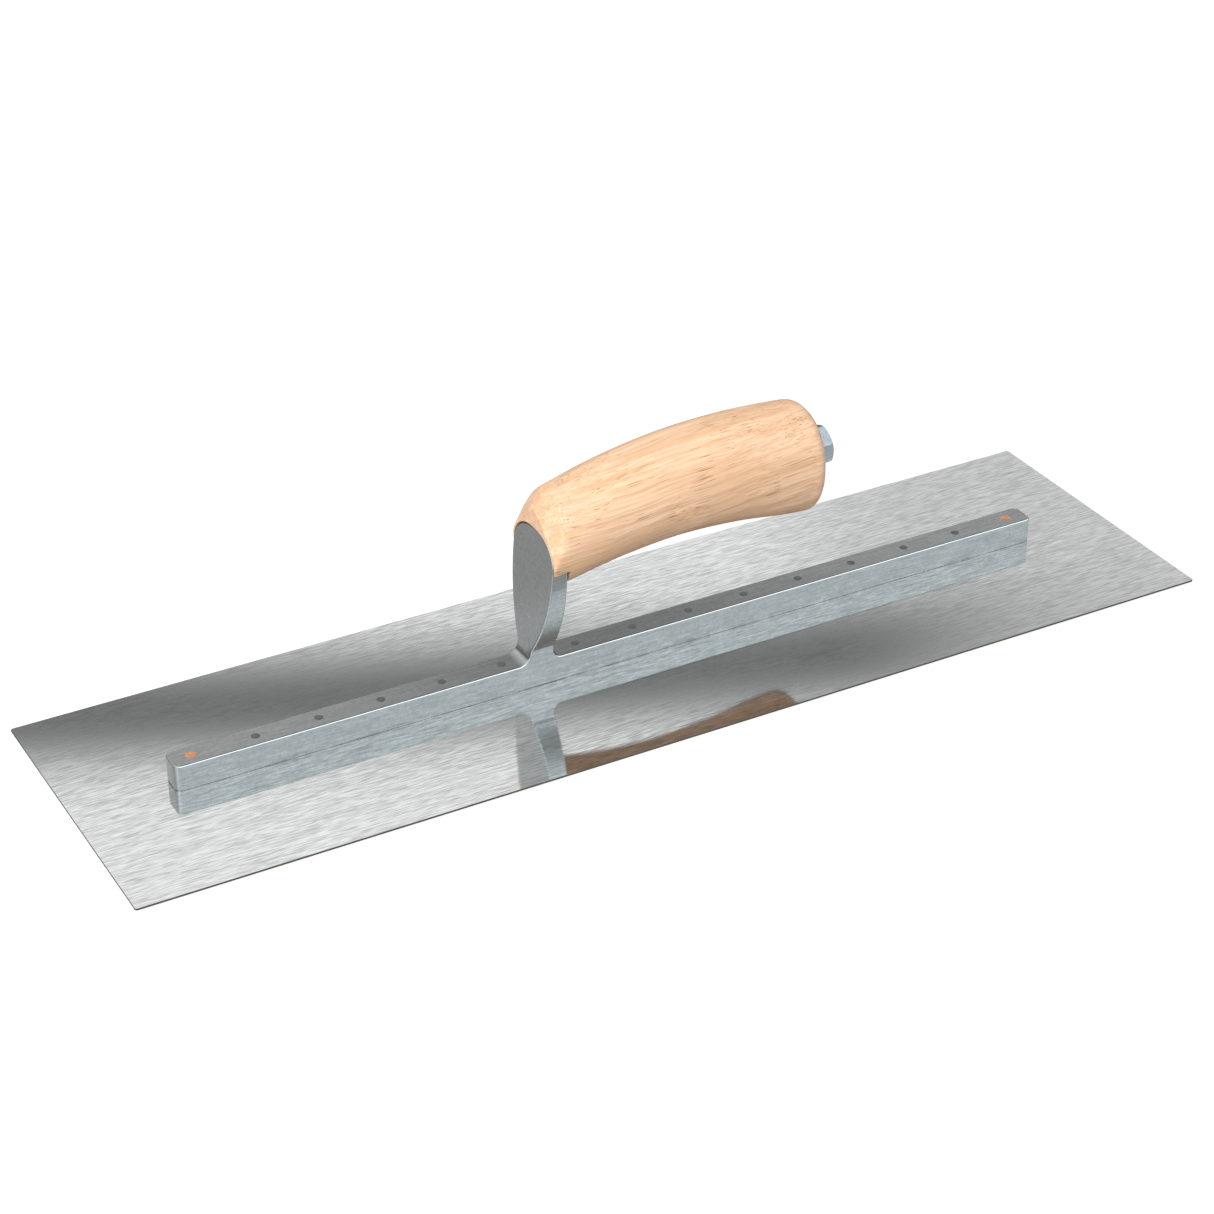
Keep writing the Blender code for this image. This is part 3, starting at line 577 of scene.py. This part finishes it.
def make_rivet(name, node, radius, dimple):
    """Rivet: a profile turned about Z, from a low dome in the bar's top to the flare under the blade."""
    low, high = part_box(node)
    centre = (low.x + high.x) / 2
    dome, under = BAR_TOP + RIVET_DOME, 0.01 * MM
    profile = [
        (0.0, dome - dimple), (0.12 * radius, dome - dimple), (0.2 * radius, dome),
        (0.6 * radius, BAR_TOP + 0.8 * RIVET_DOME), (radius - 0.12 * MM, BAR_TOP + 0.3 * RIVET_DOME),
        (radius - 0.03 * MM, BAR_TOP - 0.01 * MM), (radius, BAR_TOP - 0.1 * MM), (radius, 0.65 * MM),
        (radius + 0.29 * MM, 0.6 * MM), (radius + RIVET_FLARE, 0.03 * MM),
        (radius + RIVET_FLARE - 0.04 * MM, under), (0.0, under),
    ]
    profile = np.array(profile)
    angle = np.linspace(0.0, 2.0 * math.pi, 48, endpoint=False)[None, :]
    r, z = profile[:, :1], profile[:, 1:]
    x, y = centre + r * np.cos(angle), r * np.sin(angle)
    return surface(name, np.stack(np.broadcast_arrays(x, y, z), -1))


# ---------------------------------------------------------------- finishes

def colour(text):
    """Linear colour from an sRGB hex value."""
    parts = [int(text[i:i + 2], 16) / 255.0 for i in (1, 3, 5)]
    linear = [c / 12.92 if c <= 0.04045 else ((c + 0.055) / 1.055) ** 2.4 for c in parts]
    return (*linear, 1.0)


def add(tree, kind, links=None, **settings):
    """Add one node: settings are its own properties, links its sockets' values or what feeds them."""
    node = tree.nodes.new("ShaderNode" + kind)
    for name, value in settings.items():
        setattr(node, name, value)
    for socket, value in (links or {}).items():
        if isinstance(value, bpy.types.NodeSocket):
            tree.links.new(value, node.inputs[socket])
        else:
            node.inputs[socket].default_value = value
    return node


def start(name):
    """New material with its shader, and its object coordinates."""
    material = bpy.data.materials.new(name)
    material.use_nodes = True
    tree = material.node_tree
    shader = tree.nodes["Principled BSDF"]
    place = add(tree, "TexCoord").outputs["Object"]
    return material, tree, shader, place


def ground_steel():
    """Tempered sheet steel, ground along its length and wiped with oil: light grey, with short fine
    scratches along X that break up a blurred mirror."""
    material, tree, shader, place = start("tempered_steel_ground")
    lines = add(tree, "Mapping", {"Vector": place, "Scale": SCRATCHES}).outputs[0]
    fine = add(tree, "TexNoise", {
        "Vector": lines, "Scale": 1.0, "Detail": 1.0, "Roughness": 0.5}).outputs["Fac"]
    patch = add(tree, "Mapping", {"Vector": place, "Scale": WIPED_PATCHES}).outputs[0]
    cloud = add(tree, "TexNoise", {"Vector": patch, "Scale": 1.0, "Detail": 1.0}).outputs["Fac"]
    mixed = add(tree, "Math", {0: cloud, 1: 0.4, 2: fine}, operation="MULTIPLY_ADD").outputs[0]
    share = add(tree, "MapRange", {"Value": mixed, "From Min": 0.5, "From Max": 0.86}).outputs[0]
    tint = add(tree, "Mix", {0: share, 6: colour("#C2C4C4"), 7: colour("#F8F9FA")}, data_type="RGBA").outputs[2]
    # the sheared rim is rougher and darker than the ground faces
    facing = add(tree, "SeparateXYZ", {"Vector": add(tree, "TexCoord").outputs["Normal"]}).outputs["Z"]
    level = add(tree, "Math", {0: facing}, operation="ABSOLUTE").outputs[0]
    rim = add(tree, "MapRange", {"Value": level, "From Min": 0.95, "From Max": 0.8}).outputs[0]
    tint = add(tree, "Mix", {0: rim, 6: tint, 7: colour("#6E6862")}, data_type="RGBA").outputs[2]
    gloss = add(tree, "MapRange", {"Value": share, "To Min": 0.085, "To Max": 0.055}).outputs[0]
    rough = add(tree, "Mix", {0: rim, 2: gloss, 3: 0.45}).outputs[0]
    bump = add(tree, "Bump", {"Height": fine, "Strength": 0.02, "Distance": 0.01 * MM}).outputs[0]
    tree.links.new(tint, shader.inputs["Base Color"])
    tree.links.new(rough, shader.inputs["Roughness"])
    tree.links.new(bump, shader.inputs["Normal"])
    shader.inputs["Metallic"].default_value = 1.0
    return material


def cast_aluminium():
    """Cast aluminium, linished and tumbled: cool satin grey with faint lines along the bar, a painted
    highlight on its rounded edges and painted shade on its top near the shank."""
    material, tree, shader, place = start("cast_aluminium_linished")
    lines = add(tree, "Mapping", {"Vector": place, "Scale": LINISHING}).outputs[0]
    fine = add(tree, "TexNoise", {
        "Vector": lines, "Scale": 1.0, "Detail": 3.0, "Roughness": 0.6}).outputs["Fac"]
    cloud = add(tree, "TexNoise", {
        "Vector": place, "Scale": CAST_GRAIN, "Detail": 4.0, "Roughness": 0.65}).outputs["Fac"]
    mixed = add(tree, "Math", {0: cloud, 1: 0.6, 2: fine}, operation="MULTIPLY_ADD").outputs[0]
    share = add(tree, "MapRange", {"Value": mixed, "From Min": 0.55, "From Max": 1.05}).outputs[0]
    tint = add(tree, "Mix", {0: share, 6: colour("#919393"), 7: colour("#B4B7B7")}, data_type="RGBA").outputs[2]
    # painted highlight: a rounded edge, where no axis holds most of the normal, is painted near white, and the
    # tumbling makes it glossier
    normal = add(tree, "TexCoord").outputs["Normal"]
    slant = add(tree, "VectorMath", {0: normal}, operation="ABSOLUTE").outputs[0]
    sides = add(tree, "SeparateXYZ", {"Vector": slant})
    wider = add(tree, "Math", {
        0: sides.outputs["X"], 1: sides.outputs["Y"]}, operation="MAXIMUM").outputs[0]
    widest = add(tree, "Math", {0: wider, 1: sides.outputs["Z"]}, operation="MAXIMUM").outputs[0]
    slope = add(tree, "MapRange", {"Value": widest, "From Min": 0.88, "From Max": 0.76}).outputs[0]
    endways = sides.outputs["X"]
    along = add(tree, "MapRange", {
        "Value": endways, "From Min": 0.2, "From Max": 0.5, "To Min": 1.0, "To Max": 0.2}).outputs[0]
    edge = add(tree, "Math", {0: slope, 1: along}, operation="MULTIPLY").outputs[0]
    # painted shade and reflection: the flat top is darkened towards the shank, under the handle
    where = add(tree, "SeparateXYZ", {"Vector": place}).outputs["X"]
    away = add(tree, "Math", {0: where, 1: -PAINTED_SHADE_MIDDLE_X}, operation="ADD").outputs[0]
    away = add(tree, "Math", {0: away}, operation="ABSOLUTE").outputs[0]
    near = add(tree, "MapRange", {"Value": away, "From Min": PAINTED_SHADE_REACH, "From Max": 0.0, "To Max": 0.48},
               interpolation_type="SMOOTHSTEP").outputs[0]
    flat = add(tree, "MapRange", {"Value": sides.outputs["Z"], "From Min": 0.9, "From Max": 0.99}).outputs[0]
    painted_shade_top = add(tree, "Math", {0: near, 1: flat}, operation="MULTIPLY").outputs[0]
    # painted shade: dark grey mixed into the flat top near the shank
    tint = add(tree, "Mix", {0: painted_shade_top, 6: tint, 7: colour("#3C3C3B")}, data_type="RGBA").outputs[2]
    # painted highlight: near white mixed into the rounded edges
    tint = add(tree, "Mix", {0: edge, 6: tint, 7: colour("#F6F9FA")}, data_type="RGBA").outputs[2]
    satin = add(tree, "MapRange", {"Value": share, "To Min": 0.32, "To Max": 0.26}).outputs[0]
    rough = add(tree, "Mix", {0: edge, 2: satin, 3: 0.16}).outputs[0]
    bump = add(tree, "Bump", {"Height": cloud, "Strength": 0.05, "Distance": 0.01 * MM}).outputs[0]
    tree.links.new(tint, shader.inputs["Base Color"])
    tree.links.new(rough, shader.inputs["Roughness"])
    tree.links.new(bump, shader.inputs["Normal"])
    shader.inputs["Metallic"].default_value = 1.0
    return material


def sanded_hardwood():
    """Birch, turned, sanded and waxed: pale peach with thin growth rings, streaks and brown flecks."""
    material, tree, shader, place = start("birch_sanded")
    # growth rings about a far axis that leans a few degrees off the handle and sways
    turned = add(tree, "Mapping", {
        "Vector": place, "Location": RING_AXIS, "Rotation": (0.0, *RING_LEAN)}).outputs[0]
    sway = add(tree, "TexNoise", {"Vector": place, "Scale": GRAIN_SWAY, "Detail": 2.0}).outputs["Color"]
    push = add(tree, "VectorMath", {0: sway, 1: (SWAY_DEPTH,) * 3}, operation="MULTIPLY").outputs[0]
    bent = add(tree, "VectorMath", {0: turned, 1: push}, operation="ADD").outputs[0]
    rings = add(tree, "TexWave", {
        "Vector": bent, "Scale": GROWTH_RINGS, "Distortion": 2.2, "Detail": 2.0, "Detail Scale": 0.6},
        wave_type="RINGS", rings_direction="X", wave_profile="SAW").outputs["Fac"]
    late = add(tree, "MapRange", {"Value": rings, "From Min": 0.45, "From Max": 1.0, "To Max": 0.3},
               interpolation_type="SMOOTHSTEP").outputs[0]
    # fibres in fine lines, and broad bands of tone
    long_lines = add(tree, "Mapping", {"Vector": bent, "Scale": FIBRES}).outputs[0]
    fibre = add(tree, "TexNoise", {
        "Vector": long_lines, "Scale": 1.0, "Detail": 4.0, "Roughness": 0.7}).outputs["Fac"]
    broad_lines = add(tree, "Mapping", {"Vector": bent, "Scale": TONE_BANDS}).outputs[0]
    broad = add(tree, "TexNoise", {"Vector": broad_lines, "Scale": 1.0, "Detail": 3.0}).outputs["Fac"]
    tone = add(tree, "MapRange", {"Value": broad, "From Min": 0.4, "From Max": 0.62},
               interpolation_type="SMOOTHSTEP").outputs[0]
    body = add(tree, "Mix", {0: tone, 6: colour("#FFD7B3"), 7: colour("#F1C69D")}, data_type="RGBA").outputs[2]
    ringed = add(tree, "Mix", {0: late, 6: body, 7: colour("#DFA97C")}, data_type="RGBA").outputs[2]
    dark = add(tree, "MapRange", {"Value": fibre, "From Min": 0.45, "From Max": 0.74, "To Max": 0.85}).outputs[0]
    streak = add(tree, "Mix", {0: dark, 6: ringed, 7: colour("#CFA078")}, data_type="RGBA").outputs[2]
    # open pores and brown flecks, gathered in clusters
    fleck_place = add(tree, "Mapping", {"Vector": bent, "Scale": FLECKS}).outputs[0]
    fleck = add(tree, "TexNoise", {"Vector": fleck_place, "Scale": 1.0, "Detail": 0.0}).outputs["Fac"]
    sparse = add(tree, "TexNoise", {"Vector": place, "Scale": FLECK_CLUSTERS, "Detail": 1.0}).outputs["Fac"]
    both = add(tree, "Math", {0: sparse, 1: 0.6, 2: fleck}, operation="MULTIPLY_ADD").outputs[0]
    marks = add(tree, "MapRange", {"Value": both, "From Min": 1.0, "From Max": 1.14, "To Max": 0.8},
                interpolation_type="SMOOTHSTEP").outputs[0]
    tint = add(tree, "Mix", {0: marks, 6: streak, 7: colour("#A06C45")}, data_type="RGBA").outputs[2]
    bump = add(tree, "Bump", {"Height": fibre, "Strength": 0.12, "Distance": 0.08 * MM}).outputs[0]
    tree.links.new(tint, shader.inputs["Base Color"])
    tree.links.new(bump, shader.inputs["Normal"])
    shader.inputs["Roughness"].default_value = 0.5
    shader.inputs["IOR"].default_value = 1.5
    return material


def plain_metal(name, low, high, rough, scale):
    """Metal with a fine cloud in its colour and gloss, its scale in repeats a metre."""
    material, tree, shader, place = start(name)
    cloud = add(tree, "TexNoise", {
        "Vector": place, "Scale": scale, "Detail": 4.0, "Roughness": 0.6}).outputs["Fac"]
    share = add(tree, "MapRange", {"Value": cloud, "From Min": 0.35, "From Max": 0.65}).outputs[0]
    tint = add(tree, "Mix", {0: share, 6: colour(low), 7: colour(high)}, data_type="RGBA").outputs[2]
    gloss = add(tree, "MapRange", {"Value": share, "To Min": rough + 0.05, "To Max": rough - 0.05}).outputs[0]
    bump = add(tree, "Bump", {"Height": cloud, "Strength": 0.1, "Distance": 0.03 * MM}).outputs[0]
    tree.links.new(tint, shader.inputs["Base Color"])
    tree.links.new(gloss, shader.inputs["Roughness"])
    tree.links.new(bump, shader.inputs["Normal"])
    shader.inputs["Metallic"].default_value = 1.0
    return material


def finish_piece(piece, material, slot, *nodes):
    """Give a piece its material and its body, and hide the nodes that it stands for; its slot is not used."""
    piece.data.materials.clear()
    piece.data.materials.append(material)
    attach(piece, "root")
    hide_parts(*nodes)


# ---------------------------------------------------------------- stage

def make_camera():
    """Camera to the front left and above."""
    lens = bpy.data.cameras.new("camera")
    lens.sensor_width = 36.0
    lens.lens = 87.115
    lens.clip_start = 0.01
    eye = bpy.data.objects.new("camera", lens)
    bpy.context.scene.collection.objects.link(eye)
    right = Vector((0.87431957, -0.4853477, -0.00170237))
    up = Vector((0.25047963, 0.44821147, 0.85811796))
    back = Vector((-0.41572255, -0.75069574, 0.51344977))
    turn = Matrix((right, up, back)).transposed().to_4x4()
    eye.matrix_world = Matrix.Translation(CAMERA_PLACE) @ turn
    bpy.context.scene.camera = eye


def make_floor():
    """Wide flat sheet of pale matt paper: a square grid just under the blade."""
    side = np.linspace(-FLOOR_REACH, FLOOR_REACH, 3)
    x, y = np.meshgrid(side, side)
    floor = surface("studio_floor", np.stack([x, y, np.full_like(x, -FLOOR_GAP)], -1), wrap=False)
    material, tree, shader, place = start("studio_paper_matt")
    grain = add(tree, "TexNoise", {"Vector": place, "Scale": PAPER_GRAIN, "Detail": 3.0}).outputs["Fac"]
    tint = add(tree, "Mix", {0: grain, 6: colour("#BDBDBB"), 7: colour("#C3C3C1")}, data_type="RGBA").outputs[2]
    # beyond the paper the studio is dark, seen only in mirrors
    eye = add(tree, "LightPath").outputs["Is Camera Ray"]
    reach = add(tree, "VectorMath", {0: place}, operation="LENGTH").outputs["Value"]
    far = add(tree, "MapRange", {
        "Value": reach, "From Min": PAPER_EDGE[0], "From Max": PAPER_EDGE[1]}).outputs[0]
    mirrored = add(tree, "Math", {0: 1.0, 1: eye}, operation="SUBTRACT").outputs[0]
    dark = add(tree, "Math", {0: far, 1: mirrored}, operation="MULTIPLY").outputs[0]
    tint = add(tree, "Mix", {0: dark, 6: tint, 7: colour("#202222")}, data_type="RGBA").outputs[2]
    tree.links.new(tint, shader.inputs["Base Color"])
    shader.inputs["Roughness"].default_value = 0.9
    shader.inputs["Emission Color"].default_value = (1.0, 1.0, 1.0, 1.0)
    # lit from below for the eye alone, so the paper is white but its reflections stay grey
    lift = add(tree, "Math", {0: eye, 1: 0.62}, operation="MULTIPLY").outputs[0]
    tree.links.new(lift, shader.inputs["Emission Strength"])
    floor.data.materials.append(material)
    # it throws no light back up: the soft light alone fills the undersides
    floor.visible_diffuse = False


def dim_strip(tree, direction, ahead):
    """Share of the studio's dim strip in a direction: exp(-(s / width) ** 3.2), where s is the distance
    from a circle on the sky that runs through three places. It is paler to the right, by X (ahead)."""
    mirrored_eye = Vector((CAMERA_PLACE[0], CAMERA_PLACE[1], -CAMERA_PLACE[2]))
    first, mid, last = ((Vector(point) - mirrored_eye).normalized() for point in STRIP_PLACES)
    axis = (first - mid).cross(mid - last).normalized()
    offset = axis.dot(first)
    width = STRIP_WIDTH * math.sqrt(1.0 - offset * offset)
    side = add(tree, "VectorMath", {0: direction, 1: axis}, operation="DOT_PRODUCT").outputs["Value"]
    side = add(tree, "Math", {0: side, 1: offset}, operation="SUBTRACT").outputs[0]
    square = add(tree, "Math", {0: side, 1: side}, operation="MULTIPLY").outputs[0]
    across = add(tree, "Math", {0: square, 1: 1.0 / width ** 2}, operation="MULTIPLY").outputs[0]
    across = add(tree, "Math", {0: across, 1: STRIP_EDGE_POWER}, operation="POWER").outputs[0]
    fall = add(tree, "Math", {0: across, 1: -1.0}, operation="MULTIPLY").outputs[0]
    strip = add(tree, "Math", {0: fall}, operation="EXPONENT").outputs[0]
    pale = add(tree, "MapRange", {
        "Value": ahead, "From Min": 0.475, "From Max": 0.56, "To Min": 1.0, "To Max": 0.25},
        interpolation_type="SMOOTHSTEP").outputs[0]
    return add(tree, "Math", {0: strip, 1: pale}, operation="MULTIPLY").outputs[0]


def make_sky():
    """Light from all round: bright in front, a dark wall behind up to a little over the bench, three
    dim gaps between the panels overhead, and one dim strip that the blade mirrors."""
    world = bpy.data.worlds.new("studio")
    bpy.context.scene.world = world
    world.use_nodes = True
    tree = world.node_tree
    direction = add(tree, "TexCoord").outputs["Generated"]
    ahead, depth, level = add(tree, "SeparateXYZ", {"Vector": direction}).outputs
    strip = dim_strip(tree, direction, ahead)
    forward = add(tree, "MapRange", {"Value": depth, "From Min": -0.5, "From Max": 0.3},
                  interpolation_type="SMOOTHSTEP").outputs[0]
    wall = add(tree, "MapRange", {"Value": level, "From Min": 0.32, "From Max": 0.14},
               interpolation_type="SMOOTHSTEP").outputs[0]
    back = add(tree, "Mix", {0: wall, 6: PALE_PANEL, 7: DARK_WALL}, data_type="RGBA").outputs[2]
    glow = add(tree, "Mix", {0: forward, 6: BRIGHT_PANEL, 7: back}, data_type="RGBA").outputs[2]
    for middle, near, far, dim in PANEL_GAPS:
        middle = Vector(middle).normalized()
        close = add(tree, "VectorMath", {0: direction, 1: middle}, operation="DOT_PRODUCT").outputs["Value"]
        share = add(tree, "MapRange", {"Value": close, "From Min": near, "From Max": far},
                    interpolation_type="SMOOTHSTEP").outputs[0]
        glow = add(tree, "Mix", {0: share, 6: glow, 7: dim}, data_type="RGBA").outputs[2]
    glow = add(tree, "Mix", {0: strip, 6: glow, 7: STRIP_GLOW}, data_type="RGBA").outputs[2]
    # light that has bounced off a matt face already comes evenly from all round
    path = add(tree, "LightPath")
    upward = add(tree, "MapRange", {"Value": level, "From Min": -0.6, "From Max": 0.6}).outputs[0]
    soft = add(tree, "Mix", {0: upward, 6: SOFT_BELOW, 7: SOFT_ABOVE}, data_type="RGBA").outputs[2]
    bounces = path.outputs["Diffuse Depth"]
    bounced = add(tree, "Math", {0: bounces, 1: 0.5}, operation="GREATER_THAN").outputs[0]
    lit = add(tree, "Mix", {0: bounced, 6: glow, 7: soft}, data_type="RGBA").outputs[2]
    # straight to the eye the studio is plain white
    seen = path.outputs["Is Camera Ray"]
    shown = add(tree, "Mix", {0: seen, 6: lit, 7: (1.0, 1.0, 1.0, 1.0)}, data_type="RGBA").outputs[2]
    background = tree.nodes["Background"]
    tree.links.new(shown, background.inputs["Color"])
    background.inputs["Strength"].default_value = 1.0


def make_lamp():
    """Large soft lamp at the front left, turned to the origin and kept out of mirrors."""
    lamp = bpy.data.lights.new("soft_lamp", "AREA")
    lamp.shape = "RECTANGLE"
    lamp.size, lamp.size_y = LAMP_SIZE
    lamp.energy = LAMP_ENERGY
    holder = bpy.data.objects.new("soft_lamp", lamp)
    bpy.context.scene.collection.objects.link(holder)
    holder.visible_glossy = False
    place = Vector(LAMP_PLACE)
    holder.matrix_world = Matrix.Translation(place) @ (-place).to_track_quat("-Z", "Y").to_matrix().to_4x4()


def plain_view():
    """Colours shown as they are, with no film look."""
    view = bpy.context.scene.view_settings
    view.view_transform = "Standard"
    view.look = "None"


make_camera()
make_floor()
make_sky()
make_lamp()
plain_view()

steel = ground_steel()
casting = cast_aluminium()
wood = sanded_hardwood()
# bright zinc plate on machined steel: cool, bluish, faintly clouded
zinc = plain_metal("steel_zinc_plated", "#A3ABB2", "#B6BEC6", 0.3, 900.0)
# plain drawn steel with a rolled thread: neutral grey, a little duller
rod_steel = plain_metal("steel_rolled_thread", "#9C9E9F", "#B4B6B7", 0.35, 700.0)
# stamped steel, zinc plated: paler than the nut
washer_zinc = plain_metal("washer_steel_zinc_plated", "#AEB5BD", "#C4CBD3", 0.3, 800.0)
# soft steel headed over and ground flush: dull dark dots in the bar
rivet_steel = plain_metal("steel_rivet_ground", "#6C7071", "#7C8081", 0.42, 1500.0)
# copper headed over and ground flush: warm orange
copper = plain_metal("copper_rivet_ground", "#EE9A6E", "#F9B58E", 0.35, 1500.0)

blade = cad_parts["blade"]
blade.data.materials.clear()
blade.data.materials.append(steel)

finish_piece(make_mounting(), casting, "cast_aluminium", "mounting")
finish_piece(make_handle(), wood, "handle_wood", "handle")
finish_piece(make_nut(), zinc, "plated_steel", "handle_nut")
finish_piece(make_rod(), rod_steel, "rod_steel", "handle_rod")
finish_piece(make_washer(), washer_zinc, "washer_steel", "handle_washer")
for number in range(1, 14):
    node = "rivet_%02d" % number
    finish_piece(make_rivet("steel_" + node, node, RIVET_RADIUS, 0.0), rivet_steel, "rivet_steel", node)
for end in ("toe", "heel"):
    node = "end_rivet_" + end
    rivet = make_rivet("copper_" + node, node, END_RIVET_RADIUS, END_RIVET_DIMPLE)
    finish_piece(rivet, copper, "rivet_copper", node)
